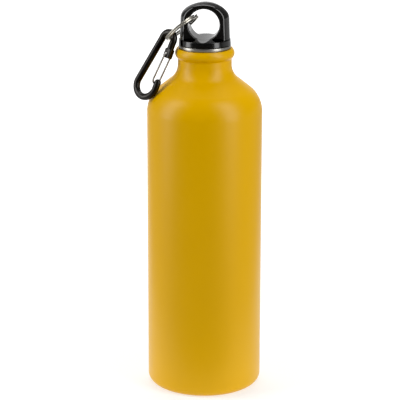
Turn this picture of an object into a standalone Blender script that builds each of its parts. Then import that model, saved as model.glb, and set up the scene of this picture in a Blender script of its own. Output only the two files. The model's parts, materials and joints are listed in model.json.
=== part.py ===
"""Aluminium sports bottle with a screw cap, a loop, a split ring and a wire-gate carabiner.

The bottle stands on its foot with its axis on world Z. The front of the loop looks along -Y.
All lengths are in metres.
"""

import math

import bmesh
import bpy
from mathutils import Matrix, Vector
from mathutils.bvhtree import BVHTree

MM = 0.001
DEGREE = math.pi / 180.0

# Running gaps and modelling allowances
GAP = 0.3 * MM
OVERRUN = 4.0 * MM
WELD = 0.05 * MM

# Bottle: body, shoulder and neck
BODY_RADIUS = 36.5 * MM
SHOULDER_HEIGHT = 180.5 * MM
SHOULDER_ROUND = 19.2 * MM
SHOULDER_SLOPE = 51.5 * DEGREE
NECK_ROUND = 11.5 * MM
NECK_RADIUS = 17.0 * MM
WALL = 1.0 * MM

# Bottle: rolled lip
LIP_OVERHANG = 1.7 * MM
LIP_ROLL = 4.0 * MM
LIP_RISE = 11.3 * MM
LIP_FLAT = 0.9 * MM
LIP_EDGE = 0.5 * MM

# Bottle: base
BASE_ROUND = 5.3 * MM
BASE_THICKNESS = 1.8 * MM
FOOT_WIDTH = 5.0 * MM
RECESS_DEPTH = 1.0 * MM
RECESS_SLOPE = 1.5 * MM

# Neck collar
COLLAR_WALL = 1.8 * MM
COLLAR_STEP = 0.7 * MM
COLLAR_FLANGE_THICKNESS = 1.9 * MM
COLLAR_LENGTH = 16.0 * MM
COLLAR_EDGE = 0.3 * MM

# Sealing washer
WASHER_THICKNESS = 1.5 * MM
WASHER_WIDTH = 2.0 * MM

# Screw cap: rim and plug
CAP_RIM_HEIGHT = 4.5 * MM
CAP_EDGE = 0.8 * MM
CAP_DRAFT = 0.25 * MM
PLUG_WALL = 1.8 * MM
PLUG_LENGTH = 11.5 * MM
PLUG_CHAMFER = 0.6 * MM
CAP_ROOF = 4.0 * MM

# Screw cap: loop
LOOP_THICKNESS = 15.5 * MM
LOOP_TURN = -5.5 * DEGREE
LOOP_SIDE_WEB = 6.05 * MM
LOOP_HOLE_SINK = 0.9 * MM
LOOP_TOP_WEB = 3.2 * MM
LOOP_SPRING = 2.95 * MM
LOOP_DRAFT = 0.45 * MM
LOOP_STEP = 0.35 * MM
LOOP_EDGE = 1.5 * MM
LOOP_ROOT = 2.2 * MM

# Thread between the cap and the collar
THREAD_SPACE = 1.3 * MM
THREAD_PITCH = 4.0 * MM
THREAD_TURNS = 3

# Split ring
RING_BORE_RADIUS = 10.8 * MM
RING_WIRE_DEPTH = 1.6 * MM
RING_WIRE_WIDTH = 1.0 * MM
RING_TURN_GAP = 0.2 * MM
RING_WIRE_EDGE = 0.25 * MM
RING_SLOPE = 50.0 * DEGREE
RING_SKEW = -12.0 * DEGREE
RING_FORWARD = 2.0 * MM
RING_END = 20.0 * DEGREE
RING_JOG = 22.0 * DEGREE
RING_SIDE_GAP = 1.7 * MM

# Carabiner frame
CLIP_ROD_RADIUS = 2.2 * MM
CLIP_TOP_ROUND = 4.9 * MM
CLIP_BOTTOM_ROUND = 8.5 * MM
CLIP_SPAN = 30.5 * MM
CLIP_BLOCK_LENGTH = 6.2 * MM
CLIP_BLOCK_WIDTH = 5.3 * MM
CLIP_BLOCK_THICKNESS = 4.1 * MM
CLIP_BLOCK_EDGE = 0.7 * MM
CLIP_BLOCK_DROP = 3.6 * MM
CLIP_NOSE_LENGTH = 7.2 * MM
CLIP_NOTCH_LENGTH = 2.2 * MM
CLIP_NOTCH_DEPTH = 1.0 * MM
CLIP_NOTCH_SETBACK = 2.2 * MM
CLIP_TURN = -43.0 * DEGREE
CLIP_CANT = 13.8 * DEGREE
CLIP_LEAN_FREE = 60.0 * DEGREE
CLIP_REST_GAP = 0.35 * MM
CLIP_SEAT_GAP = 1.1 * MM
CLIP_SEAT_OFFSET = 1.6 * MM

# Wire gate
GATE_WIRE_RADIUS = 0.6 * MM
GATE_PIVOT_CLEARANCE = 0.2 * MM
GATE_STUB = 1.6 * MM
GATE_BEND = 1.3 * MM

# Facets of the turned pieces
BODY_SEGMENTS = 56
SHOULDER_STEPS = 7
INNER_SHOULDER_STEPS = 6
NECK_STEPS = 5
LIP_STEPS = 9
BASE_STEPS = 5
INNER_BASE_STEPS = 3
CAP_EDGE_STEPS = 4

# Facets of the loop
LOOP_SEGMENTS = 60
LOOP_EDGE_STEPS = 3
LOOP_FLAT_STEPS = 6

# Facets of the bent pieces
ROD_SIDES = 12
WIRE_SIDES = 8
RING_STEPS = 36
TOP_BEND_STEPS = 12
BOTTOM_BEND_STEPS = 14
NOSE_STEPS = 3
NOSE_DOME_SHARE = 0.88
BLOCK_EDGE_STEPS = 2
BLOCK_ROUNDING_SHARE = 0.5
GATE_BEND_STEPS = 3
GATE_TURN_STEPS = 8
SHARP_EDGE = 35.0 * DEGREE

# Search for the resting places
SETTLE_STEPS = 40
SETTLE_HALVINGS = 12

# Finishes: name, linear colour, roughness and metallic share
ENAMEL = ("yellow_enamel", (0.80, 0.47, 0.004, 1.0), 0.3, 0.0)
BARE_METAL = ("bare_aluminium", (0.62, 0.61, 0.58, 1.0), 0.35, 1.0)
BLACK_PLASTIC = ("black_polypropylene", (0.012, 0.012, 0.013, 1.0), 0.3, 0.0)
SILICONE = ("clear_silicone", (0.65, 0.65, 0.62, 1.0), 0.5, 0.0)
NICKEL = ("nickel_plated_steel", (0.66, 0.64, 0.60, 1.0), 0.25, 1.0)
ANODISED = ("black_anodised_aluminium", (0.02, 0.02, 0.022, 1.0), 0.4, 0.3)
SPRING_STEEL = ("spring_steel", (0.35, 0.34, 0.32, 1.0), 0.35, 1.0)

# Radii that follow from the neck
LIP_RADIUS = NECK_RADIUS + LIP_OVERHANG
SLEEVE_RADIUS = NECK_RADIUS - WALL - GAP
COLLAR_BORE = SLEEVE_RADIUS - COLLAR_WALL
COLLAR_FLANGE = SLEEVE_RADIUS + COLLAR_STEP
PLUG_RADIUS = COLLAR_BORE - THREAD_SPACE
CAP_RADIUS = COLLAR_FLANGE
LOOP_RADIUS = CAP_RADIUS - CAP_DRAFT - LOOP_STEP
LOOP_HOLE_RADIUS = LOOP_RADIUS - LOOP_SIDE_WEB

# Heights that follow from the sizes above
SLOPE_RUN = (
    BODY_RADIUS - NECK_RADIUS - (SHOULDER_ROUND + NECK_ROUND) * (1.0 - math.cos(SHOULDER_SLOPE))
) / math.sin(SHOULDER_SLOPE)
NECK_HEIGHT = (
    SHOULDER_HEIGHT
    + (SHOULDER_ROUND + NECK_ROUND) * math.sin(SHOULDER_SLOPE)
    + SLOPE_RUN * math.cos(SHOULDER_SLOPE)
)
LIP_HEIGHT = NECK_HEIGHT + LIP_RISE - LIP_FLAT
COLLAR_HEIGHT = LIP_HEIGHT + GAP + COLLAR_FLANGE_THICKNESS
CAP_HEIGHT = COLLAR_HEIGHT + GAP
CAP_TOP = CAP_HEIGHT + CAP_RIM_HEIGHT
GROOVE_ROOF = COLLAR_HEIGHT + GAP + WASHER_THICKNESS + GAP
HOLE_HEIGHT = CAP_TOP - LOOP_HOLE_SINK + LOOP_HOLE_RADIUS
LOOP_ARCH_RISE = LOOP_HOLE_RADIUS + LOOP_TOP_WEB - LOOP_SPRING


def clear_scene():
    """Start from an empty scene."""
    for old in list(bpy.data.objects):
        bpy.data.objects.remove(old, do_unlink=True)


def make_material(name, colour, roughness, metallic):
    """A plain Principled finish for one kind of piece."""
    material = bpy.data.materials.new(name)
    material.use_nodes = True
    shader = material.node_tree.nodes["Principled BSDF"]
    shader.inputs["Base Color"].default_value = colour
    shader.inputs["Roughness"].default_value = roughness
    shader.inputs["Metallic"].default_value = metallic
    material.diffuse_color = colour
    return material


def arc(centre_r, centre_z, radius, start, end, steps):
    """Points of an arc in the (r, z) half plane, both ends included."""
    points = []
    for i in range(steps + 1):
        angle = start + (end - start) * i / steps
        points.append((centre_r + radius * math.cos(angle), centre_z + radius * math.sin(angle)))
    return points


def lathe(profile, segments):
    """Turn a closed profile of (r, z) points about Z: up its outer side, then back down inside."""
    bm = bmesh.new()
    turns = [math.tau * i / segments for i in range(segments)]
    rings = []
    for r, z in profile:
        if r < WELD:
            rings.append([bm.verts.new((0.0, 0.0, z))])
        else:
            rings.append([bm.verts.new((r * math.cos(t), r * math.sin(t), z)) for t in turns])
    for low, high in zip(rings, rings[1:] + rings[:1]):
        if len(low) == 1 and len(high) == 1:
            continue
        for i in range(segments):
            j = (i + 1) % segments
            if len(low) == 1:
                bm.faces.new((low[0], high[j], high[i]))
            elif len(high) == 1:
                bm.faces.new((low[i], low[j], high[0]))
            else:
                bm.faces.new((low[i], low[j], high[j], high[i]))
    bmesh.ops.recalc_face_normals(bm, faces=bm.faces)
    return bm


def sweep(centres, frames, section):
    """Carry a closed section along a path. Each frame holds the section's two axes and a scale."""
    bm = bmesh.new()
    rings = []
    for centre, (side, up, scale) in zip(centres, frames):
        rings.append([bm.verts.new(centre + (side * x + up * y) * scale) for x, y in section])
    count = len(section)
    for low, high in zip(rings, rings[1:]):
        for i in range(count):
            j = (i + 1) % count
            bm.faces.new((low[i], low[j], high[j], high[i]))
    bm.faces.new(rings[0])
    bm.faces.new(rings[-1])
    bmesh.ops.recalc_face_normals(bm, faces=bm.faces)
    return bm


def circle_section(radius, sides):
    """A round section for sweep."""
    return [
        (radius * math.cos(math.tau * i / sides), radius * math.sin(math.tau * i / sides)) for i in range(sides)
    ]


def path_frames(centres, first_side):
    """Section axes along a path, turned as little as possible from one point to the next."""
    frames = []
    side = first_side
    for i in range(len(centres)):
        before = centres[max(i - 1, 0)]
        after = centres[min(i + 1, len(centres) - 1)]
        along = (after - before).normalized()
        side = (side - along * side.dot(along)).normalized()
        frames.append((side, along.cross(side), 1.0))
    return frames


def finish_object(name, bm, material, matrix=None):
    """Put a bmesh into a named, smooth-shaded object of the scene."""
    mesh = bpy.data.meshes.new(name)
    bm.to_mesh(mesh)
    bm.free()
    mesh.materials.append(material)
    mesh.shade_smooth()
    mesh.set_sharp_from_angle(angle=SHARP_EDGE)
    obj = bpy.data.objects.new(name, mesh)
    bpy.context.scene.collection.objects.link(obj)
    if matrix is not None:
        obj.matrix_world = matrix
    return obj


def add_boolean(obj, other, operation):
    """Cut or join another solid, which is kept as a hidden guide."""
    modifier = obj.modifiers.new(operation.title() + " " + other.name, "BOOLEAN")
    modifier.operation = operation
    modifier.solver = "EXACT"
    modifier.object = other
    other.hide_render = True
    other.display_type = "WIRE"


def bottle_outer():
    """The outer profile of the shoulder and neck, from the body up to the crease under the lip."""
    centre = BODY_RADIUS - SHOULDER_ROUND
    neck_centre = NECK_RADIUS + NECK_ROUND
    points = arc(centre, SHOULDER_HEIGHT, SHOULDER_ROUND, 0.0, SHOULDER_SLOPE, SHOULDER_STEPS)
    points += arc(neck_centre, NECK_HEIGHT, NECK_ROUND, math.pi + SHOULDER_SLOPE, math.pi, NECK_STEPS)
    return points


def bottle_inner():
    """The same curve one wall further in, from the mouth down to the body."""
    centre = BODY_RADIUS - SHOULDER_ROUND
    neck_centre = NECK_RADIUS + NECK_ROUND
    points = arc(neck_centre, NECK_HEIGHT, NECK_ROUND + WALL, math.pi, math.pi + SHOULDER_SLOPE, NECK_STEPS)
    points += arc(centre, SHOULDER_HEIGHT, SHOULDER_ROUND - WALL, SHOULDER_SLOPE, 0.0, INNER_SHOULDER_STEPS)
    return points


def bottle_profile():
    """Foot, body, shoulder, neck and rolled lip outside, then the even wall inside."""
    foot_outer = BODY_RADIUS - BASE_ROUND
    foot_inner = foot_outer - FOOT_WIDTH
    roll_r = LIP_RADIUS - LIP_ROLL
    roll_z = LIP_HEIGHT + LIP_FLAT - LIP_ROLL
    lip_start = -math.acos((NECK_RADIUS - roll_r) / LIP_ROLL)
    lip_end = math.asin((LIP_HEIGHT - LIP_EDGE - roll_z) / LIP_ROLL)
    edge_r = roll_r + LIP_ROLL * math.cos(lip_end)
    floor_z = RECESS_DEPTH + BASE_THICKNESS
    outer = [(0.0, RECESS_DEPTH), (foot_inner - RECESS_SLOPE, RECESS_DEPTH), (foot_inner, 0.0)]
    outer += arc(foot_outer, BASE_ROUND, BASE_ROUND, -math.pi / 2, 0.0, BASE_STEPS)
    outer += bottle_outer()
    outer += arc(roll_r, roll_z, LIP_ROLL, lip_start, lip_end, LIP_STEPS)
    outer.append((edge_r - LIP_EDGE, LIP_HEIGHT))
    inner = [(NECK_RADIUS - WALL, LIP_HEIGHT)]
    inner += bottle_inner()
    inner_round = BASE_ROUND - WALL
    inner += arc(foot_outer, floor_z + inner_round, inner_round, 0.0, -math.pi / 2, INNER_BASE_STEPS)
    inner.append((0.0, floor_z))
    return outer + inner


def make_bottle(material):
    """The one-piece bottle shell."""
    return finish_object("bottle_shell", lathe(bottle_profile(), BODY_SEGMENTS), material)


def make_collar(material):
    """The threaded insert: a flange on the lip and a sleeve down the neck."""
    bottom = LIP_HEIGHT - COLLAR_LENGTH
    under = LIP_HEIGHT + GAP
    top = COLLAR_HEIGHT
    profile = [
        (COLLAR_BORE + COLLAR_EDGE, bottom),
        (SLEEVE_RADIUS - COLLAR_EDGE, bottom),
        (SLEEVE_RADIUS, bottom + COLLAR_EDGE),
        (SLEEVE_RADIUS, under),
        (COLLAR_FLANGE - COLLAR_EDGE, under),
        (COLLAR_FLANGE, under + COLLAR_EDGE),
        (COLLAR_FLANGE, top - COLLAR_EDGE),
        (COLLAR_FLANGE - COLLAR_EDGE, top),
        (COLLAR_BORE + COLLAR_EDGE, top),
        (COLLAR_BORE, top - COLLAR_EDGE),
        (COLLAR_BORE, bottom + COLLAR_EDGE),
    ]
    return finish_object("neck_collar", lathe(profile, BODY_SEGMENTS), material)


def make_washer(material, joint):
    """The flat ring that seals the cap on the collar."""
    inner = PLUG_RADIUS + GAP
    outer = inner + WASHER_WIDTH
    low = COLLAR_HEIGHT + GAP
    high = low + WASHER_THICKNESS
    profile = [(inner, low), (outer, low), (outer, high), (inner, high)]
    washer = finish_object("sealing_washer", lathe(profile, BODY_SEGMENTS), material)
    hang_on(washer, joint)
    return washer


def cap_profile():
    """The cap's rim, its washer groove and the hollow plug below it."""
    groove = PLUG_RADIUS + GAP + WASHER_WIDTH + GAP
    plug_end = CAP_HEIGHT - PLUG_LENGTH
    core = PLUG_RADIUS - PLUG_WALL
    rim_top = CAP_RADIUS - CAP_DRAFT
    profile = [
        (core, plug_end),
        (PLUG_RADIUS - PLUG_CHAMFER, plug_end),
        (PLUG_RADIUS, plug_end + PLUG_CHAMFER),
        (PLUG_RADIUS, GROOVE_ROOF),
        (groove, GROOVE_ROOF),
        (groove, CAP_HEIGHT),
        (CAP_RADIUS - COLLAR_EDGE, CAP_HEIGHT),
        (CAP_RADIUS, CAP_HEIGHT + COLLAR_EDGE),
    ]
    profile += arc(rim_top - CAP_EDGE, CAP_TOP - CAP_EDGE, CAP_EDGE, 0.0, math.pi / 2, CAP_EDGE_STEPS)
    profile += [(0.0, CAP_TOP), (0.0, CAP_TOP - CAP_ROOF), (core, CAP_TOP - CAP_ROOF)]
    return profile


def make_cap_rim(material):
    """The turned part of the cap as one closed solid, cored from below."""
    return finish_object("screw_cap", lathe(cap_profile(), BODY_SEGMENTS), material)


def loop_reach(angle, depth):
    """How far the loop reaches from the hole's centre at an angle, in the slice at a depth."""
    across = math.cos(angle)
    rise = math.sin(angle)
    half = math.sqrt((LOOP_RADIUS - LOOP_DRAFT) ** 2 - depth**2)
    low_half = math.sqrt(LOOP_RADIUS**2 - depth**2)
    if rise > 0.0:
        # the arch: an ellipse round the spring line
        a = (across / half) ** 2 + (rise / LOOP_ARCH_RISE) ** 2
        b = -2.0 * LOOP_SPRING * rise / LOOP_ARCH_RISE**2
        c = (LOOP_SPRING / LOOP_ARCH_RISE) ** 2 - 1.0
        reach = (-b + math.sqrt(b * b - 4.0 * a * c)) / (2.0 * a)
        if reach * rise > LOOP_SPRING:
            return reach
    # the drafted side, down to the root inside the rim
    root = HOLE_HEIGHT - (CAP_TOP - LOOP_ROOT)
    to_root = root / -rise if rise < 0.0 else math.inf
    slope = (low_half - half) / (LOOP_SPRING + root)
    # the half width grows by this slope on the way down from the spring line
    approach = abs(across) + slope * rise
    if approach * to_root < half + slope * LOOP_SPRING:
        return to_root
    return (half + slope * LOOP_SPRING) / approach


def make_loop(material):
    """The loop as a closed ring of sections round the hole, each with rounded edges."""
    flat = LOOP_THICKNESS / 2 - LOOP_EDGE
    quarter = [math.pi / 2 * k / LOOP_EDGE_STEPS for k in range(LOOP_EDGE_STEPS + 1)]
    # each turn's place on a rounded edge, as (towards the face, away from the hole)
    soft = [(LOOP_EDGE * math.sin(t), LOOP_EDGE * (1.0 - math.cos(t))) for t in quarter]
    bm = bmesh.new()
    rings = []
    for i in range(LOOP_SEGMENTS):
        angle = math.tau * i / LOOP_SEGMENTS
        hole_edge = [(flat + over, LOOP_HOLE_RADIUS + out) for over, out in soft]
        outer_edge = []
        for over, out in reversed(soft):
            depth = flat + over
            outer_edge.append((depth, loop_reach(angle, depth) - out))
        section = hole_edge + outer_edge
        for k in range(1, LOOP_FLAT_STEPS):
            depth = flat * (1.0 - 2.0 * k / LOOP_FLAT_STEPS)
            section.append((depth, loop_reach(angle, depth)))
        section += [(-depth, reach) for depth, reach in reversed(hole_edge + outer_edge)]
        ring = []
        for depth, reach in section:
            ring.append(bm.verts.new((reach * math.cos(angle), depth, HOLE_HEIGHT + reach * math.sin(angle))))
        rings.append(ring)
    count = len(rings[0])
    for i in range(LOOP_SEGMENTS):
        low, high = rings[i], rings[(i + 1) % LOOP_SEGMENTS]
        for j in range(count):
            k = (j + 1) % count
            bm.faces.new((low[j], low[k], high[k], high[j]))
    bmesh.ops.recalc_face_normals(bm, faces=bm.faces)
    return finish_object("loop_guide", bm, material, Matrix.Rotation(LOOP_TURN, 4, "Z"))


def add_cylinder(radius, depth, segments):
    """A closed cylinder along Z."""
    bm = bmesh.new()
    bmesh.ops.create_cone(bm, cap_ends=True, segments=segments, radius1=radius, radius2=radius, depth=depth)
    return bm


def add_box(width, length, thickness):
    """A closed box about the origin."""
    bm = bmesh.new()
    bmesh.ops.create_cube(bm, size=1.0)
    bmesh.ops.scale(bm, vec=Vector((width, length, thickness)), verts=bm.verts)
    return bm


def make_trough(material):
    """The cutter that carries the hole's round floor on across the rim."""
    bm = add_cylinder(LOOP_HOLE_RADIUS + WELD, CAP_RADIUS + CAP_RADIUS + OVERRUN, LOOP_SEGMENTS)
    turn = Matrix.Rotation(LOOP_TURN, 4, "Z") @ Matrix.Translation((0.0, 0.0, HOLE_HEIGHT))
    return finish_object("trough_guide", bm, material, turn @ Matrix.Rotation(math.pi / 2, 4, "X"))


def make_cap(material, joint):
    """The moulded cap: rim and plug, cut by the trough and joined to the loop."""
    cap = make_cap_rim(material)
    trough = make_trough(material)
    loop = make_loop(material)
    add_boolean(cap, trough, "DIFFERENCE")
    add_boolean(cap, loop, "UNION")
    hang_on(cap, joint)
    return cap


def hang_on(obj, parent):
    """Parent an object without moving it."""
    bpy.context.view_layer.update()
    obj.parent = parent
    obj.matrix_parent_inverse = parent.matrix_world.inverted()


def make_joint(name, matrix, parent=None):
    """An empty on a joint's axis, which is its local Z."""
    joint = bpy.data.objects.new(name, None)
    joint.empty_display_size = CAP_RADIUS
    bpy.context.scene.collection.objects.link(joint)
    joint.matrix_world = matrix
    if parent is not None:
        hang_on(joint, parent)
    return joint


def axis_matrix(point, axis):
    """A matrix at a point with its Z along an axis."""
    turn = axis.to_track_quat("Z", "Y").to_matrix().to_4x4()
    return Matrix.Translation(point) @ turn


def ring_axes():
    """The ring's upright and level directions and its own axis, skewed a little in the loop's eye."""
    turn = Matrix.Rotation(LOOP_TURN, 3, "Z")
    upright = turn @ Vector((math.sin(RING_SLOPE), 0.0, math.cos(RING_SLOPE)))
    through = turn @ Vector((0.0, 1.0, 0.0))
    level = Matrix.Rotation(RING_SKEW, 3, upright) @ through
    return upright, level, upright.cross(level), through


def ring_section():
    """The wire's section: depth along the ring's radius, width along its axis, with eased corners."""
    d = RING_WIRE_DEPTH
    w = RING_WIRE_WIDTH / 2
    e = RING_WIRE_EDGE
    return [(e, -w), (d - e, -w), (d, e - w), (d, w - e), (d - e, w), (e, w), (0.0, w - e), (0.0, e - w)]


def ring_wire():
    """Two turns of flat wire with the jog where one turn crosses over to the other."""
    steps = 2 * RING_STEPS
    start = RING_END
    end = 2.0 * math.tau - RING_END
    shift = (RING_WIRE_WIDTH + RING_TURN_GAP) / 2
    centres = []
    frames = []
    for i in range(steps + 1):
        angle = start + (end - start) * i / steps
        progress = (angle - math.tau) / RING_JOG
        blend = max(-1.0, min(1.0, progress * 2.0))
        offset = shift * math.sin(blend * math.pi / 2)
        outward = Vector((math.cos(angle), math.sin(angle), 0.0))
        centres.append(outward * RING_BORE_RADIUS + Vector((0.0, 0.0, offset)))
        frames.append((outward, Vector((0.0, 0.0, 1.0)), 1.0))
    return sweep(centres, frames, ring_section())


def tree_of(obj):
    """A search tree over an object's finished surface in world space, and its corners."""
    bpy.context.view_layer.update()
    graph = bpy.context.evaluated_depsgraph_get()
    shape = obj.evaluated_get(graph)
    mesh = shape.to_mesh()
    corners = [obj.matrix_world @ v.co for v in mesh.vertices]
    faces = [tuple(p.vertices) for p in mesh.polygons]
    shape.to_mesh_clear()
    return BVHTree.FromPolygons(corners, faces), corners, faces


def clearance(corners, faces, move, tree, still_corners):
    """The least distance between a moved shape and a still one, measured both ways."""
    moved = [move @ c for c in corners]
    near = min(tree.find_nearest(c)[3] for c in moved)
    back = BVHTree.FromPolygons(moved, faces)
    return min(near, min(back.find_nearest(c)[3] for c in still_corners))


def settle(shape, still, move_by, free, tight, gap):
    """Move a shape from a free place towards a tight one until only the gap is left."""
    corners, faces = shape
    tree, still_corners = still
    low = free
    high = tight
    for i in range(1, SETTLE_STEPS + 1):
        value = free + (tight - free) * i / SETTLE_STEPS
        if clearance(corners, faces, move_by(value), tree, still_corners) < gap:
            high = value
            break
        low = value
    for _ in range(SETTLE_HALVINGS):
        middle = (low + high) / 2
        if clearance(corners, faces, move_by(middle), tree, still_corners) < gap:
            high = middle
        else:
            low = middle
    return low


def near_corners(corners, centre, radius):
    """The corners of a still shape that a moving one could reach."""
    return [c for c in corners if (c - centre).length < radius]


def make_ring(material, cap, parent):
    """Hang the split ring in the loop, up against the wall of the hole."""
    upright, level, axis, through = ring_axes()
    turn = Matrix((upright, level, axis)).transposed().to_4x4()
    hole = Vector((0.0, 0.0, HOLE_HEIGHT))
    side = LOOP_HOLE_RADIUS - RING_WIRE_WIDTH - RING_TURN_GAP / 2 - RING_SIDE_GAP
    start = hole + upright.cross(through) * side - through * RING_FORWARD
    ring = finish_object("split_ring", ring_wire(), material)
    _, corners, faces = tree_of(ring)
    tree, still, _ = tree_of(cap)
    still = near_corners(still, hole, LOOP_HOLE_RADIUS + RING_BORE_RADIUS)

    def place(drop):
        return Matrix.Translation(start - upright * drop) @ turn

    tight = RING_BORE_RADIUS + RING_BORE_RADIUS
    drop = settle((corners, faces), (tree, still), place, RING_BORE_RADIUS, tight, GAP)
    joint = make_joint("ring_swing", axis_matrix(hole, through), parent)
    ring.matrix_world = place(drop)
    hang_on(ring, joint)
    centre = place(drop).translation
    hang = RING_BORE_RADIUS - CLIP_SEAT_GAP - CLIP_ROD_RADIUS
    apex = centre - upright * hang + axis * CLIP_SEAT_OFFSET
    # the clip swings round the wire at the lowest point of the ring
    wire = centre - upright * (RING_BORE_RADIUS + RING_WIRE_DEPTH / 2)
    swing = make_joint("carabiner_swing", axis_matrix(wire, level), joint)
    return joint, swing, apex


def clip_slant():
    """Half the angle between the clip's spine and its gate side."""
    return math.asin((CLIP_BOTTOM_ROUND - CLIP_TOP_ROUND) / CLIP_SPAN)


def clip_point(round_radius, centre_b, angle):
    """A point of the clip's bends in its own plane: X to the gate, Y down the clip."""
    return Vector((round_radius * math.cos(angle), centre_b - round_radius * math.sin(angle), 0.0))


def clip_gate_line():
    """The gate side's straight: where it leaves the top bend, where it meets the bottom one, its direction."""
    slant = clip_slant()
    top = clip_point(CLIP_TOP_ROUND, 0.0, -slant)
    bottom = clip_point(CLIP_BOTTOM_ROUND, CLIP_SPAN, -slant)
    return top, bottom, (bottom - top).normalized()


def clip_rod():
    """The bent rod: from the pivot block over the top, down the spine, round to the nose."""
    slant = clip_slant()
    top, bottom, along = clip_gate_line()
    centres = [top + along * (CLIP_BLOCK_DROP + CLIP_BLOCK_EDGE)]
    for i in range(TOP_BEND_STEPS + 1):
        turn = -slant + (math.pi + 2.0 * slant) * i / TOP_BEND_STEPS
        centres.append(clip_point(CLIP_TOP_ROUND, 0.0, turn))
    for i in range(BOTTOM_BEND_STEPS + 1):
        turn = math.pi + slant + (math.pi - 2.0 * slant) * i / BOTTOM_BEND_STEPS
        centres.append(clip_point(CLIP_BOTTOM_ROUND, CLIP_SPAN, turn))
    nose = bottom - along * CLIP_NOSE_LENGTH
    centres.append(bottom - along * (CLIP_NOSE_LENGTH - CLIP_ROD_RADIUS))
    frames = path_frames(centres, Vector((0.0, 0.0, 1.0)))
    # the nose ends in a dome
    side, up, _ = frames[-1]
    for i in range(1, NOSE_STEPS + 1):
        turn = math.pi / 2 * NOSE_DOME_SHARE * i / NOSE_STEPS
        centres.append(nose + along * CLIP_ROD_RADIUS * (1.0 - math.sin(turn)))
        frames.append((side, up, math.cos(turn)))
    return sweep(centres, frames, circle_section(CLIP_ROD_RADIUS, ROD_SIDES))


def gate_pivot():
    """The gate's pivot point in the block, in the clip's plane."""
    top, _, along = clip_gate_line()
    return top + along * (CLIP_BLOCK_DROP + CLIP_BLOCK_LENGTH / 2)


def slanted(point):
    """A matrix at a point of the clip's plane, with Y down its gate line."""
    slant = clip_slant()
    return Matrix.Translation(point) @ Matrix.Rotation(-slant, 4, "Z")


def make_block(material, matrix):
    """The forged pivot block at the end of the rod."""
    bm = add_box(CLIP_BLOCK_WIDTH, CLIP_BLOCK_LENGTH, CLIP_BLOCK_THICKNESS)
    bmesh.ops.bevel(
        bm,
        geom=bm.edges[:],
        offset=CLIP_BLOCK_EDGE,
        segments=BLOCK_EDGE_STEPS,
        profile=BLOCK_ROUNDING_SHARE,
        affect="EDGES",
    )
    return finish_object("block_guide", bm, material, matrix @ slanted(gate_pivot()))


def make_pivot_hole(material, matrix):
    """The cutter for the hole that takes the gate's bent-in ends."""
    bm = add_cylinder(GATE_WIRE_RADIUS + GATE_PIVOT_CLEARANCE, CLIP_BLOCK_THICKNESS + OVERRUN, ROD_SIDES)
    return finish_object("pivot_hole_guide", bm, material, matrix @ slanted(gate_pivot()))


def nose_notch():
    """The middle of the notch that holds the end of the gate, in the clip's plane."""
    _, bottom, along = clip_gate_line()
    return bottom - along * (CLIP_NOSE_LENGTH - CLIP_NOTCH_SETBACK - CLIP_NOTCH_LENGTH / 2)


def make_notch(material, matrix):
    """The cutter for the nose's notch, on the side that faces the spine."""
    bm = add_box(OVERRUN, CLIP_NOTCH_LENGTH, CLIP_ROD_RADIUS + CLIP_ROD_RADIUS + OVERRUN)
    inward = OVERRUN / 2 + CLIP_ROD_RADIUS - CLIP_NOTCH_DEPTH
    shift = Matrix.Translation((-inward, 0.0, 0.0))
    return finish_object("notch_guide", bm, material, matrix @ slanted(nose_notch()) @ shift)


def clip_matrix(apex, lean):
    """The clip's frame in the world: X to the gate, Y down, origin at the top bend's centre."""
    turn = Matrix.Rotation(CLIP_TURN, 4, "Z") @ Matrix.Rotation(lean, 4, "X") @ Matrix.Rotation(CLIP_CANT, 4, "Y")
    # upright frame: X to the gate, Y down, Z away from the viewer
    upright = Matrix.Rotation(-math.pi / 2, 4, "X")
    return Matrix.Translation(apex) @ turn @ upright @ Matrix.Translation((0.0, CLIP_TOP_ROUND, 0.0))


def make_clip(material, apex, bottle, joint):
    """Hang the carabiner from the ring and let it lean on the bottle's shoulder."""
    frame = finish_object("carabiner_frame", clip_rod(), material)
    _, corners, faces = tree_of(frame)
    tree, still, _ = tree_of(bottle)
    still = near_corners(still, apex, CLIP_SPAN + CLIP_TOP_ROUND + CLIP_BOTTOM_ROUND + OVERRUN)

    def place(lean):
        return clip_matrix(apex, lean)

    lean = settle((corners, faces), (tree, still), place, -CLIP_LEAN_FREE, 0.0, CLIP_REST_GAP)
    matrix = place(lean)
    frame.matrix_world = matrix
    add_boolean(frame, make_block(material, matrix), "UNION")
    add_boolean(frame, make_pivot_hole(material, matrix), "DIFFERENCE")
    add_boolean(frame, make_notch(material, matrix), "DIFFERENCE")
    hang_on(frame, joint)
    return matrix


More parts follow.
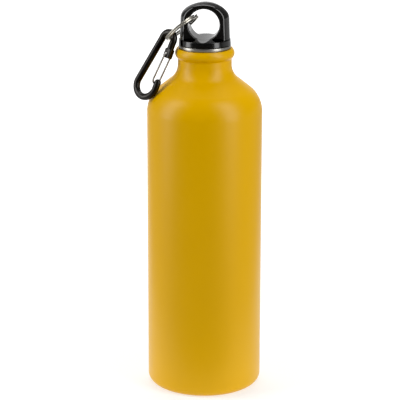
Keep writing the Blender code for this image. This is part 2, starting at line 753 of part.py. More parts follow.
def gate_wire():
    """The hairpin: a stub in the block, a leg, the bend round the nose, the other leg and stub."""
    half = CLIP_BLOCK_THICKNESS / 2 + GAP + GATE_WIRE_RADIUS
    pivot = gate_pivot()
    notch = nose_notch()
    slant = Matrix.Rotation(-clip_slant(), 3, "Z")
    inward = slant @ Vector((-1.0, 0.0, 0.0))
    tip = notch + inward * (CLIP_ROD_RADIUS - CLIP_NOTCH_DEPTH + GAP + GATE_WIRE_RADIUS)
    along = (tip - pivot).normalized()
    turn_centre = tip - along * half
    side = Vector((0.0, 0.0, 1.0))
    leg = []
    inner_end = CLIP_BLOCK_THICKNESS / 2 - GATE_STUB
    leg.append(pivot + side * inner_end)
    for i in range(GATE_BEND_STEPS + 1):
        angle = math.pi / 2 * i / GATE_BEND_STEPS
        across = half - GATE_BEND * (1.0 - math.sin(angle))
        down = GATE_BEND * (1.0 - math.cos(angle))
        leg.append(pivot + side * across + along * down)
    bends = []
    for i in range(GATE_TURN_STEPS + 1):
        angle = math.pi * i / GATE_TURN_STEPS
        bends.append(turn_centre + side * half * math.cos(angle) + along * half * math.sin(angle))
    mirrored = [Vector((p.x, p.y, -p.z)) for p in reversed(leg)]
    centres = leg + bends + mirrored
    frames = path_frames(centres, along.cross(side))
    return sweep(centres, frames, circle_section(GATE_WIRE_RADIUS, WIRE_SIDES)), pivot


def make_gate(material, matrix, parent):
    """The wire gate on its pivot in the block."""
    bm, pivot = gate_wire()
    axis = matrix.to_3x3() @ Vector((0.0, 0.0, 1.0))
    joint = make_joint("gate_open", axis_matrix(matrix @ pivot, axis), parent)
    gate = finish_object("wire_gate", bm, material, matrix)
    hang_on(gate, joint)
    return joint


def main():
    clear_scene()
    bottle = make_bottle(make_material(*ENAMEL))
    make_collar(make_material(*BARE_METAL))
    lift = make_joint("cap_lift", Matrix.Translation((0.0, 0.0, COLLAR_HEIGHT)))
    make_washer(make_material(*SILICONE), lift)
    turn = make_joint("cap_turn", Matrix.Translation((0.0, 0.0, CAP_HEIGHT)), lift)
    cap = make_cap(make_material(*BLACK_PLASTIC), turn)
    ring_joint, clip_joint, apex = make_ring(make_material(*NICKEL), cap, turn)
    matrix = make_clip(make_material(*ANODISED), apex, bottle, clip_joint)
    gate_joint = make_gate(make_material(*SPRING_STEEL), matrix, clip_joint)
    bpy.context.view_layer.update()
    for joint in (ring_joint, clip_joint, gate_joint):
        axis = joint.matrix_world.to_3x3() @ Vector((0.0, 0.0, 1.0))
        print(joint.name, "at", joint.matrix_world.translation, "axis", axis)
    print("cap lift for one radian:", THREAD_PITCH / math.tau)
    print("cap turns until free:", THREAD_TURNS)


main()
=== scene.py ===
# %% [markdown]
# # A yellow aluminium drinking bottle
#
# The real thing is a bottle drawn from one slug of aluminium, enamelled outside, with a turned collar
# in its neck. A black moulded cap screws into the collar. A split ring and a small carabiner hang from
# the cap's loop. The CAD model is the frame here: it gives every place and every joint. This lesson
# builds a finer piece over each CAD solid and gives each one a finish.

# %% Load the frame
import json
import math

import bmesh
import bpy
from mathutils import Matrix, Quaternion, Vector


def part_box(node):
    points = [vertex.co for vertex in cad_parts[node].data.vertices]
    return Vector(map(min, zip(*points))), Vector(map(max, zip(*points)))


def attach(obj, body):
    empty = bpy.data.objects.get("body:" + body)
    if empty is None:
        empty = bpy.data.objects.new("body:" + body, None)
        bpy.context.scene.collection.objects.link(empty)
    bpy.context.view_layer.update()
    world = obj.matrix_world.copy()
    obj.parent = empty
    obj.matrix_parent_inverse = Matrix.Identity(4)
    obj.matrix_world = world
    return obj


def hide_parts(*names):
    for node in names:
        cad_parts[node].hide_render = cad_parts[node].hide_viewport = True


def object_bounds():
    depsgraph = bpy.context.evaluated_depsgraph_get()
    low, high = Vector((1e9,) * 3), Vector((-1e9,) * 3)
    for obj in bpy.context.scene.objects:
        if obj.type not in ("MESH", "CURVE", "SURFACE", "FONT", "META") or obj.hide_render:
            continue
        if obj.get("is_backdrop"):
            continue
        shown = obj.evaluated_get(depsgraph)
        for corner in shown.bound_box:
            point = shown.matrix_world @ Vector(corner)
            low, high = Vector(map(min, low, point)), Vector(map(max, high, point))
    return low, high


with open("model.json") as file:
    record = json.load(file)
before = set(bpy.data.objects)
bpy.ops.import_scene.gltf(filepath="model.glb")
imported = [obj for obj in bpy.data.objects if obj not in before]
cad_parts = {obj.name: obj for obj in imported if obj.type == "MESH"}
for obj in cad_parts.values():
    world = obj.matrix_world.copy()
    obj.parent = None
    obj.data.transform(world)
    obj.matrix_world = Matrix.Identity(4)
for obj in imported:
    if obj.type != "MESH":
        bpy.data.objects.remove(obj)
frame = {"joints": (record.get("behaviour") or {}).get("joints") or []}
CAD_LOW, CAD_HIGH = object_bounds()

MM = 0.001
DEGREE = math.pi / 180.0
print("CAD box in mm:", [round(v / MM, 1) for v in CAD_LOW], [round(v / MM, 1) for v in CAD_HIGH])

# %% [markdown]
# ## The camera
#
# The photograph looks slightly down on the bottle through a long lens, so its sides stay nearly parallel.
# A camera can be placed by eye, but here its distance, height and focal length were fitted to the outline
# of the bottle, which leaves less than one pixel of error. Its roll is almost nothing.

# %% Set the camera
AIM = Vector((-2.866, 0.0, 121.807)) * MM
CAMERA_PLACE = Vector((-2.866, -1137.27, 453.21)) * MM
CAMERA_ROLL = 0.086 * DEGREE
SENSOR = 36.0
FOCAL_PIXELS = 1846.34
PICTURE_PIXELS = 400.0

camera_data = bpy.data.cameras.new("photo_camera")
camera_data.sensor_width = SENSOR
camera_data.lens = FOCAL_PIXELS * SENSOR / PICTURE_PIXELS
camera = bpy.data.objects.new("photo_camera", camera_data)
bpy.context.scene.collection.objects.link(camera)
camera.rotation_mode = "QUATERNION"
look = (AIM - CAMERA_PLACE).to_track_quat("-Z", "Y")
camera.rotation_quaternion = look @ Quaternion((0.0, 0.0, 1.0), CAMERA_ROLL)
camera.location = CAMERA_PLACE
bpy.context.scene.camera = camera
print("lens:", round(camera_data.lens, 1), "mm")

# %% [markdown]
# ## Colours and shader nodes
#
# Colours are easiest to pick as the hex values of a screen, which are sRGB, while shaders add up light,
# so they want linear values. One function turns the first into the second. A second small function adds
# any shader node, with its settings and its links, so each finish below reads as a short list.


# %% Colour and node helpers
def linear(hex_colour):
    """An sRGB hex colour as the linear RGBA that shaders use."""
    channels = []
    for start in (1, 3, 5):
        value = int(hex_colour[start : start + 2], 16) / 255.0
        channels.append(value / 12.92 if value <= 0.04045 else ((value + 0.055) / 1.055) ** 2.4)
    return (*channels, 1.0)


def add_node(material, kind, settings, links=()):
    """Add a node, set its sockets or properties by name, and link (output, input) pairs into it."""
    node = material.node_tree.nodes.new(kind)
    for name, value in settings.items():
        if name in node.inputs:
            node.inputs[name].default_value = value
        else:
            setattr(node, name, value)
    for output, entry in links:
        material.node_tree.links.new(output, node.inputs[entry])
    return node


def new_material(name, settings):
    """A material with one Principled shader, whose sockets take the settings."""
    material = bpy.data.materials.new(name)
    material.use_nodes = True
    shader = material.node_tree.nodes["Principled BSDF"]
    for socket, value in settings.items():
        shader.inputs[socket].default_value = value
    return material, shader


def link(material, output, socket):
    """Join an output to an input."""
    material.node_tree.links.new(output, socket)


print("white in linear:", linear("#ffffff")[:3])

# %% [markdown]
# ## Gloss that isn't even
#
# No real surface is equally glossy all over: it was handled, moulded or sprayed a little unevenly. The
# finishes that show let their roughness wander between two values, in patches of a real size. The texture
# coordinates are the object's own metres, so one divided by a size in metres is the pattern's scale.


# %% Uneven gloss helper
def uneven_gloss(material, shader, patch_size, low, high, detail=2.0):
    """Let the roughness wander from low to high, and return the object's coordinates and the pattern."""
    here = add_node(material, "ShaderNodeTexCoord", {}).outputs["Object"]
    settings = {"Scale": 1.0 / patch_size, "Detail": detail}
    pattern = add_node(material, "ShaderNodeTexNoise", settings, [(here, "Vector")]).outputs["Fac"]
    gloss = add_node(material, "ShaderNodeMapRange", {"To Min": low, "To Max": high}, [(pattern, "Value")])
    link(material, gloss.outputs["Result"], shader.inputs["Roughness"])
    return here, pattern


print("a 2 mm pattern has the scale", round(1.0 / (2.0 * MM)))

# %% [markdown]
# ## Enamel on the bottle
#
# The outside is stoving enamel: sprayed on, then baked to a satin skin about 0.03 mm thick. It flows out
# smooth, but not like glass, so it keeps a faint orange peel a millimetre or two across. A plain diffuse
# colour would look like paper. A diffuse base under a thin, slightly rough coat gives the soft wide
# highlights of baked enamel. A slow change in roughness and tint stands for handling.

# %% Make the enamel
enamel, enamel_shader = new_material("stoved_satin_enamel", {"IOR": 1.5, "Specular IOR Level": 0.3})
HANDLING_SIZE = 40.0 * MM
enamel_place, handling = uneven_gloss(enamel, enamel_shader, HANDLING_SIZE, 0.3, 0.38, detail=4.0)
tint = add_node(
    enamel,
    "ShaderNodeMix",
    {"data_type": "RGBA", "A": linear("#dea900"), "B": linear("#e2ad00")},
    [(handling, "Factor")],
)
link(enamel, tint.outputs[2], enamel_shader.inputs["Base Color"])

PEEL_SIZE = 1.6 * MM
peel_settings = {"Scale": 1.0 / PEEL_SIZE, "Detail": 2.0}
peel = add_node(enamel, "ShaderNodeTexNoise", peel_settings, [(enamel_place, "Vector")])
peel_depth = {"Strength": 0.05, "Distance": 0.02 * MM}
peel_bump = add_node(enamel, "ShaderNodeBump", peel_depth, [(peel.outputs["Fac"], "Height")])
link(enamel, peel_bump.outputs["Normal"], enamel_shader.inputs["Normal"])
print("enamel peel:", round(PEEL_SIZE / MM, 1), "mm across")

# %% [markdown]
# ## Bare and lacquered aluminium
#
# The collar is turned on a lathe and left bare, so the tool's path stays as fine rings. Rings 0.2 mm
# apart are too fine to show, so they are drawn 0.5 mm apart and very shallow. The inside of the bottle is
# the drawn metal under a thin clear lacquer: duller, a little warmer, with the broad rings of the drawing.
# Both are metals, so they take all their brightness from what they mirror.

# %% Make the two aluminium finishes
WAVE_AT_ONE = 0.314  # metres from ring to ring when a wave texture has the scale 1


def turned_rings(material, shader, spacing, strength):
    """Shallow rings round the upright axis, as a lathe or a drawing punch leaves them."""
    here = add_node(material, "ShaderNodeTexCoord", {}).outputs["Object"]
    settings = {"bands_direction": "Z", "Scale": WAVE_AT_ONE / spacing, "Distortion": 0.4, "Detail": 1.0}
    rings = add_node(material, "ShaderNodeTexWave", settings, [(here, "Vector")])
    depth = {"Strength": strength, "Distance": 0.03 * MM}
    bump = add_node(material, "ShaderNodeBump", depth, [(rings.outputs["Fac"], "Height")])
    link(material, bump.outputs["Normal"], shader.inputs["Normal"])


TURNED_RINGS = 0.5 * MM
WEAR_SIZE = 6.0 * MM
turned, turned_shader = new_material(
    "turned_bare_aluminium", {"Base Color": linear("#a9a7a1"), "Metallic": 1.0}
)
uneven_gloss(turned, turned_shader, WEAR_SIZE, 0.28, 0.4)
turned_rings(turned, turned_shader, TURNED_RINGS, 0.25)

DRAWN_RINGS = 1.5 * MM
lined, lined_shader = new_material(
    "lacquered_drawn_aluminium", {"Base Color": linear("#c9c1ad"), "Metallic": 1.0, "Roughness": 0.42}
)
turned_rings(lined, lined_shader, DRAWN_RINGS, 0.3)
print("rings on the collar:", TURNED_RINGS / MM, "mm apart; inside the bottle:", DRAWN_RINGS / MM, "mm")

# %% [markdown]
# ## Black polypropylene of the cap
#
# The cap is moulded in a polished tool, so it is glossy where nobody touches it. Polypropylene is a
# little cloudy and soft, and it shrinks as it cools, which leaves a very slight waviness. Low roughness
# with a fine, weak grain gives that, and broad noise makes the worn places duller.

# %% Make the polypropylene
plastic, plastic_shader = new_material(
    "moulded_black_polypropylene", {"Base Color": linear("#100f0e"), "IOR": 1.54}
)
SINK_SIZE = 9.0 * MM
plastic_place, sink = uneven_gloss(plastic, plastic_shader, SINK_SIZE, 0.13, 0.21)
GRAIN_SIZE = 0.5 * MM
grain_settings = {"Scale": 1.0 / GRAIN_SIZE, "Detail": 3.0}
grain = add_node(plastic, "ShaderNodeTexNoise", grain_settings, [(plastic_place, "Vector")])
grain_depth = {"Strength": 0.06, "Distance": 0.02 * MM}
grain_bump = add_node(plastic, "ShaderNodeBump", grain_depth, [(grain.outputs["Fac"], "Height")])
sink_bump = add_node(
    plastic,
    "ShaderNodeBump",
    {"Strength": 0.15, "Distance": 0.1 * MM},
    [(sink, "Height"), (grain_bump.outputs["Normal"], "Normal")],
)
link(plastic, sink_bump.outputs["Normal"], plastic_shader.inputs["Normal"])
print("cap grain:", GRAIN_SIZE / MM, "mm, sink marks:", round(SINK_SIZE / MM), "mm")

# %% [markdown]
# ## Silicone of the washer
#
# The washer is clear silicone, moulded and left as it comes. It looks milky, because light passes into it
# and comes out again a little further on. Subsurface scattering over a millimetre gives that.

# %% Make the silicone
silicone, silicone_shader = new_material(
    "milky_silicone",
    {
        "Base Color": linear("#dcdad2"),
        "IOR": 1.41,
        "Subsurface Weight": 0.4,
        "Subsurface Radius": (1.0, 1.0, 1.0),
        "Subsurface Scale": 1.0 * MM,
    },
)
CLOUD_SIZE = 2.0 * MM
uneven_gloss(silicone, silicone_shader, CLOUD_SIZE, 0.38, 0.52)
print("silicone clouds:", CLOUD_SIZE / MM, "mm")

# %% [markdown]
# ## Nickel, anodised rod and spring wire
#
# The split ring is spring steel with bright nickel plate, so it mirrors the room softly. The carabiner is
# aluminium rod, dyed black while it was anodised: the pores stay at the surface, so it is darker and
# softer than paint. The gate is drawn stainless wire, a little duller than the plate. All three carry the
# small scuffs of metal that rubs on metal, as uneven gloss and a very slight bump.

# %% Make the small parts' finishes
nickel, nickel_shader = new_material(
    "bright_nickel_plate", {"Base Color": linear("#bdb9ae"), "Metallic": 1.0}
)
anodised, anodised_shader = new_material(
    "black_anodised_aluminium", {"Base Color": linear("#2f2d2b"), "Metallic": 0.7}
)
wire_steel, wire_shader = new_material(
    "drawn_stainless_wire", {"Base Color": linear("#a8a6a2"), "Metallic": 1.0}
)
SCUFF_DEPTH = 0.02 * MM
SCUFFS = (
    (nickel, nickel_shader, 1.2 * MM, 0.24, 0.4, 0.08),
    (anodised, anodised_shader, 0.6 * MM, 0.24, 0.36, 0.12),
    (wire_steel, wire_shader, 0.8 * MM, 0.2, 0.34, 0.08),
)
for material, shader, scuff_size, low, high, strength in SCUFFS:
    _, scuffs = uneven_gloss(material, shader, scuff_size, low, high, detail=5.0)
    depth = {"Strength": strength, "Distance": SCUFF_DEPTH}
    scuff_bump = add_node(material, "ShaderNodeBump", depth, [(scuffs, "Height")])
    link(material, scuff_bump.outputs["Normal"], shader.inputs["Normal"])
    print(material.name, "scuffs:", round(scuff_size / MM, 1), "mm")

# %% [markdown]
# ## Shapes turned on a lathe
#
# Bottle, collar, washer and the cap's rim are all bodies of revolution. One function turns a profile
# of (radius, height) points into a closed mesh. A Screw modifier could do the same, but plain mesh code
# keeps the seam welded and lets the profile carry a material for each band of faces.

# %% Lathe and arc helpers
ON_AXIS = 0.001 * MM


def arc(centre_r, centre_z, radius, start, end, steps):
    """Points of an arc in the half plane of radius and height, both ends included."""
    angles = [start + (end - start) * i / steps for i in range(steps + 1)]
    return [(centre_r + radius * math.cos(a), centre_z + radius * math.sin(a)) for a in angles]


def lathe(profile, segments, inner_from=None):
    """Turn a closed profile about Z. Faces of bands from inner_from on take the second material."""
    bm = bmesh.new()
    turns = [math.tau * i / segments for i in range(segments)]
    rings = []
    for r, z in profile:
        count = 1 if r < ON_AXIS else segments
        rings.append([bm.verts.new((r * math.cos(t), r * math.sin(t), z)) for t in turns[:count]])
    for band, (low, high) in enumerate(zip(rings, rings[1:] + rings[:1])):
        if len(low) == 1 and len(high) == 1:
            continue
        for i in range(segments):
            j = (i + 1) % segments
            if len(low) == 1:
                corners = (low[0], high[j], high[i])
            elif len(high) == 1:
                corners = (low[i], low[j], high[0])
            else:
                corners = (low[i], low[j], high[j], high[i])
            face = bm.faces.new(corners)
            face.material_index = int(inner_from is not None and band >= inner_from)
    bmesh.ops.recalc_face_normals(bm, faces=bm.faces)
    return bm


quarter = arc(0.0, 0.0, 1.0, 0.0, math.pi / 2, 4)
print("a quarter arc in 4 steps:", [(round(r, 2), round(z, 2)) for r, z in quarter])

# %% [markdown]
# ## Putting a piece in its place
#
# Every piece goes in the same way. Its mesh gets its finish and smooth shading, with sharp edges only where
# the real piece has them. It rides on the body that moves it and stands in for its CAD node, which is hidden.


# %% Piece helper
def add_piece(name, bm, materials, body, node, slot, matrix=None, sharp=40.0 * DEGREE):
    """Put a mesh in the scene, smooth, on its body, in place of its CAD node."""
    mesh = bpy.data.meshes.new(name)
    bm.to_mesh(mesh)
    bm.free()
    if matrix is not None:
        mesh.transform(matrix)
    for material in materials:
        mesh.materials.append(material)
    mesh.shade_smooth()
    mesh.set_sharp_from_angle(angle=sharp)
    piece = bpy.data.objects.new(name, mesh)
    bpy.context.scene.collection.objects.link(piece)
    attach(piece, body)
    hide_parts(node)
    print(name, len(mesh.polygons), "faces")


joints = {joint["name"]: joint for joint in frame["joints"]}
print("joints:", sorted(joints))

# %% [markdown]
# ## The bottle shell
#
# The maker presses a slug into a cup, draws the cup out, spins the shoulder and neck in, and rolls the
# lip outwards. So there is no seam, and the wall is even. First come the sizes of the body. The shoulder
# and the hollow of the neck are two arcs with a straight slope between them, so the neck's height follows.

# %% Sizes of the body and the neck
BODY_R = 36.5 * MM
SHOULDER_Z = 180.5 * MM
SHOULDER_ROUND = 19.2 * MM
SHOULDER_SLOPE = 51.5 * DEGREE
NECK_ROUND = 11.5 * MM
NECK_R = 17.0 * MM
WALL = 1.0 * MM
RISE = (SHOULDER_ROUND + NECK_ROUND) * math.sin(SHOULDER_SLOPE)
RUN = BODY_R - NECK_R - (SHOULDER_ROUND + NECK_ROUND) * (1.0 - math.cos(SHOULDER_SLOPE))
NECK_Z = SHOULDER_Z + RISE + RUN / math.tan(SHOULDER_SLOPE)
print("the neck stands straight at", round(NECK_Z / MM, 2), "mm")

# %% [markdown]
# ## The rolled lip
#
# The lip is the neck's own wall, rolled outwards and down. From the side it is a bead with a crease under
# it, where it meets the neck. The bead is one arc, the crease a small hollow one that touches both.

# %% Sizes of the lip
LIP_R = 18.7 * MM
LIP_ROLL = 4.0 * MM
LIP_Z = NECK_Z + 10.4 * MM
LIP_FLAT = 0.9 * MM
LIP_EDGE = 0.5 * MM
CREASE = 1.2 * MM
roll_r = LIP_R - LIP_ROLL
roll_z = LIP_Z + LIP_FLAT - LIP_ROLL
crease_r = NECK_R + CREASE
crease_z = roll_z - math.sqrt((LIP_ROLL + CREASE) ** 2 - (crease_r - roll_r) ** 2)
roll_start = math.atan2(crease_z - roll_z, crease_r - roll_r)
roll_end = math.asin((LIP_Z - LIP_EDGE - roll_z) / LIP_ROLL)
edge_r = roll_r + LIP_ROLL * math.cos(roll_end)
print("lip height:", round(LIP_Z / MM, 2), "mm")

# %% [markdown]
# ## Turning the shell
#
# The profile goes up the outside in the order that the metal was formed: recess, foot, straight side,
# shoulder, neck and lip. Then it comes down again, one wall further in, to the floor. The bands of the
# way down take the lacquered finish.

# %% Turn the bottle shell
BASE_ROUND = 5.3 * MM
FOOT_OUT = BODY_R - BASE_ROUND
FOOT_IN = FOOT_OUT - 5.0 * MM
RECESS = 1.0 * MM
RECESS_EDGE = ((1.5, 1.0), (1.0, 0.88), (0.4, 0.1), (0.0, 0.0))  # mm inside the foot, mm up
FLOOR_Z = RECESS + 1.8 * MM

shell = [(0.0, RECESS)]
shell += [(FOOT_IN - inwards * MM, up * MM) for inwards, up in RECESS_EDGE]
shell += arc(FOOT_OUT, BASE_ROUND, BASE_ROUND, -math.pi / 2, 0.0, 16)
shell += [(BODY_R, SHOULDER_Z * share) for share in (0.2, 0.4, 0.6, 0.8)]
shell += arc(BODY_R - SHOULDER_ROUND, SHOULDER_Z, SHOULDER_ROUND, 0.0, SHOULDER_SLOPE, 24)
shell += arc(NECK_R + NECK_ROUND, NECK_Z, NECK_ROUND, math.pi + SHOULDER_SLOPE, math.pi, 16)
shell += arc(crease_r, crease_z, CREASE, math.pi, math.pi + roll_start, 8)
shell += arc(roll_r, roll_z, LIP_ROLL, roll_start, roll_end, 28)[1:]
shell += arc(edge_r - LIP_EDGE, LIP_Z - LIP_EDGE, LIP_EDGE, roll_end, math.pi / 2, 4)
inner_start = len(shell)
shell += [(NECK_R - WALL, LIP_Z)]
shell += arc(NECK_R + NECK_ROUND, NECK_Z, NECK_ROUND + WALL, math.pi, math.pi + SHOULDER_SLOPE, 14)
shell += arc(BODY_R - SHOULDER_ROUND, SHOULDER_Z, SHOULDER_ROUND - WALL, SHOULDER_SLOPE, 0.0, 18)
shell += arc(FOOT_OUT, FLOOR_Z + BASE_ROUND - WALL, BASE_ROUND - WALL, 0.0, -math.pi / 2, 10)
shell += [(0.0, FLOOR_Z)]
shell_mesh = lathe(shell, 192, inner_start)
add_piece("bottle_body", shell_mesh, [enamel, lined], "bottle", "bottle_shell", "enamel")

# %% [markdown]
# ## Threads
#
# A thread is one ridge that climbs a fixed pitch every turn. Here it is 4 mm, coarse enough to open the
# bottle in three turns. A bump map would vanish from the side, so the ridge is geometry: a trapezoid
# carried round a helix, fading into the wall at both ends. The cap's ridge and the collar's start half a
# pitch apart, so they mesh with air between their flanks, at rest and on the way out.

# %% Thread helper
PITCH = 4.0 * MM
RIDGE_FOOT, RIDGE_TIP = 0.95 * MM, 0.4 * MM
RIDGE_SUNK = 0.3 * MM
FADE_STEPS = 16.0
FADED = 0.02


def thread_ridge(bm, root, crest, low, high, phase, segments=96):
    """Add a helical ridge from low to high. The crest lies outside the root, or inside it for a bore."""
    sunk = root - math.copysign(RIDGE_SUNK, crest - root)
    first = math.ceil((low - phase) / PITCH * segments)
    last = math.floor((high - phase) / PITCH * segments)
    rings = []
    for i in range(first, last + 1):
        turn = math.tau * i / segments
        centre = phase + PITCH * i / segments
        grown = min(1.0, (i - first) / FADE_STEPS, (last - i) / FADE_STEPS)
        reach = root + (crest - root) * (FADED + (1.0 - FADED) * math.sin(grown * math.pi / 2))
        section = [(sunk, -RIDGE_FOOT), (root, -RIDGE_FOOT), (reach, -RIDGE_TIP)]
        section += [(reach, RIDGE_TIP), (root, RIDGE_FOOT), (sunk, RIDGE_FOOT)]
        across, back = math.cos(turn), math.sin(turn)
        rings.append([bm.verts.new((r * across, r * back, centre + h)) for r, h in section])
    for low_ring, high_ring in zip(rings, rings[1:]):
        for k in range(6):
            n = (k + 1) % 6
            bm.faces.new((low_ring[k], high_ring[k], high_ring[n], low_ring[n]))
    bm.faces.new(rings[0])
    bm.faces.new(reversed(rings[-1]))
    bmesh.ops.recalc_face_normals(bm, faces=bm.faces)


print("one turn of the cap lifts it", PITCH / MM, "mm")

# %% [markdown]
# ## The collar
#
# The collar is a turned ring that is pressed and glued into the neck. Its flange covers the cut edge of
# the lip and shows as the silver line under the cap, and its bore holds the thread. It is one lathe
# profile with small eased edges, plus the ridge.

# %% Turn the collar
GAP = 0.3 * MM
EASE = 0.3 * MM
COLLAR_LOW = LIP_Z - 16.0 * MM
COLLAR_UNDER = LIP_Z + GAP
COLLAR_TOP = COLLAR_UNDER + 1.9 * MM
COLLAR_BORE = 13.9 * MM
COLLAR_CREST = 13.1 * MM
COLLAR_FLANGE = 16.4 * MM
SLEEVE = NECK_R - WALL - GAP
collar_line = [(COLLAR_BORE + EASE, COLLAR_LOW), (SLEEVE - EASE, COLLAR_LOW), (SLEEVE, COLLAR_LOW + EASE)]
collar_line += [(SLEEVE, COLLAR_UNDER)]
collar_line += arc(COLLAR_FLANGE - EASE, COLLAR_UNDER + EASE, EASE, -math.pi / 2, 0.0, 4)
collar_line += arc(COLLAR_FLANGE - EASE, COLLAR_TOP - EASE, EASE, 0.0, math.pi / 2, 4)
collar_line += arc(COLLAR_BORE + EASE, COLLAR_TOP - EASE, EASE, math.pi / 2, math.pi, 4)
collar_line += [(COLLAR_BORE, COLLAR_LOW + EASE)]
collar_mesh = lathe(collar_line, 160)
thread_low, thread_high = COLLAR_LOW + 1.6 * MM, COLLAR_TOP - 2.0 * MM
thread_ridge(collar_mesh, COLLAR_BORE, COLLAR_CREST, thread_low, thread_high, COLLAR_LOW + PITCH / 2)
add_piece("collar_turned", collar_mesh, [turned], "bottle", "neck_collar", "collar")

# %% [markdown]
# ## The washer
#
# The washer is a moulded ring with soft corners. It lies in a groove of the cap and rides up with it. Its
# place and size are read from the CAD node, so it can't miss the groove.

# %% Turn the washer
washer_low, washer_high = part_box("sealing_washer")
WASHER_OUT = washer_high.x
WASHER_IN = WASHER_OUT - 2.0 * MM
WASHER_ROUND = 0.35 * MM
low_z, high_z = washer_low.z + WASHER_ROUND, washer_high.z - WASHER_ROUND
washer_line = arc(WASHER_IN + WASHER_ROUND, low_z, WASHER_ROUND, math.pi, 1.5 * math.pi, 4)
washer_line += arc(WASHER_OUT - WASHER_ROUND, low_z, WASHER_ROUND, -math.pi / 2, 0.0, 4)
washer_line += arc(WASHER_OUT - WASHER_ROUND, high_z, WASHER_ROUND, 0.0, math.pi / 2, 4)
washer_line += arc(WASHER_IN + WASHER_ROUND, high_z, WASHER_ROUND, math.pi / 2, math.pi, 4)
add_piece("washer_moulded", lathe(washer_line, 128), [silicone], "seal", "sealing_washer", "washer")

# %% [markdown]
# ## The cap's rim and plug
#
# The cap is one moulding: a rim, a hollow plug with the thread, and a thick loop to carry it by. The rim
# and the plug are one lathe profile. The rim's top falls off outwards as a sloped ledge, which catches
# the light above the dark side. The groove behind the plug's shoulder leaves the washer a little air.

# %% Rim, plug and groove of the cap
CAP_Z = COLLAR_TOP + GAP
CAP_R = 16.4 * MM
CAP_TOP = CAP_Z + 4.5 * MM
CAP_EDGE = 0.5 * MM
CAP_ROOF = 4.0 * MM
LEDGE_WIDTH = 8.5 * MM
LEDGE_DROP = 0.9 * MM
LEDGE_SLOPE = math.atan(LEDGE_DROP / (LEDGE_WIDTH - CAP_EDGE))
RIM_TOP_R = CAP_R - 0.25 * MM
PLUG_R = 12.6 * MM
PLUG_CREST = 13.4 * MM
PLUG_CORE = PLUG_R - 1.8 * MM
PLUG_END = CAP_Z - 11.5 * MM
PLUG_CHAMFER = 0.6 * MM
GROOVE_R = WASHER_OUT + GAP
GROOVE_TOP = COLLAR_TOP + GAP + 1.5 * MM + GAP
ledge_z = CAP_TOP - LEDGE_DROP - CAP_EDGE
cap_line = [(PLUG_CORE, PLUG_END), (PLUG_R - PLUG_CHAMFER, PLUG_END), (PLUG_R, PLUG_END + PLUG_CHAMFER)]
cap_line += [(PLUG_R, GROOVE_TOP), (GROOVE_R, GROOVE_TOP), (GROOVE_R, CAP_Z)]
cap_line += arc(CAP_R - EASE, CAP_Z + EASE, EASE, -math.pi / 2, 0.0, 17)
cap_line += arc(RIM_TOP_R - CAP_EDGE, ledge_z, CAP_EDGE, 0.0, math.pi / 2 - LEDGE_SLOPE, 17)
cap_line += [(RIM_TOP_R - LEDGE_WIDTH, CAP_TOP), (0.0, CAP_TOP)]
cap_line += [(0.0, CAP_TOP - CAP_ROOF), (PLUG_CORE, CAP_TOP - CAP_ROOF)]
rim_mesh = lathe(cap_line, 160)
print("cap rim from", round(CAP_Z / MM, 2), "to", round(CAP_TOP / MM, 2), "mm")

# %% [markdown]
# ## The loop's outside
#
# The loop isn't round in any view. Seen from the front it is an arch above and a slightly tapered block
# below. Seen from above it follows the rim's circle. So its outside is worked out, not drawn: from the
# middle of the hole, at any angle and at any depth, how far is it to the surface?

# %% How far the loop reaches
LOOP_TURN = -5.5 * DEGREE
HOLE_R = 9.75 * MM
HOLE_Z = CAP_TOP - 0.9 * MM + HOLE_R
LOOP_TOP = HOLE_Z + HOLE_R + 3.19 * MM
ARCH_RISE = 10.0 * MM
SIDE_R = RIM_TOP_R - 0.35 * MM
LOOP_DRAFT = 0.45 * MM
LOOP_ROOT = 2.2 * MM
SOFTEN_OVER = 0.8 * MM


def loop_reach(angle, depth):
    """Distance from the hole's centre to the loop's outside, at an angle, in the slice at a depth."""
    across, rise = math.cos(angle), math.sin(angle)
    spring = LOOP_TOP - ARCH_RISE - HOLE_Z
    half = math.sqrt((SIDE_R - LOOP_DRAFT) ** 2 - depth**2)
    if rise > 0.0:
        a = (across / half) ** 2 + (rise / ARCH_RISE) ** 2
        b = -2.0 * spring * rise / ARCH_RISE**2
        c = (spring / ARCH_RISE) ** 2 - 1.0
        reach = (-b + math.sqrt(b * b - 4.0 * a * c)) / (2.0 * a)
        if reach * rise > spring:
            return reach
    root = HOLE_Z - (CAP_TOP - LOOP_ROOT)
    to_root = root / -rise if rise < 0.0 else math.inf
    slope = (math.sqrt(SIDE_R**2 - depth**2) - half) / (spring + root)
    approach = abs(across) + slope * rise
    if approach * to_root < half + slope * spring:
        return to_root
    return (half + slope * spring) / approach


def softened(angle, depth, drop):
    """The outside at an angle, drawn in for a soft edge, but left whole where it roots in the rim."""
    reach = loop_reach(angle, depth)
    above_root = HOLE_Z + reach * math.sin(angle) - (CAP_TOP - LOOP_ROOT)
    return reach - drop * min(1.0, max(0.0, above_root / SOFTEN_OVER))


print("loop half width:", round(loop_reach(0.0, 0.0) / MM, 2), "mm at the hole's middle")

# %% [markdown]
# ## The loop as a grid
#
# A mould leaves the loop with soft edges and a slight fall to each side, so that it lets go. One way to
# get that is a bevel after the cuts, but the loop's edges run into each other too sharply for it. A grid
# is surer: a section with its roundings in it, carried round the hole.

# %% Build the loop's grid
LOOP_HALF = 7.75 * MM
HOLE_EDGE = 1.0 * MM
LOOP_EDGE = 1.5 * MM
LAND_SLOPE = math.tan(5.0 * DEGREE)


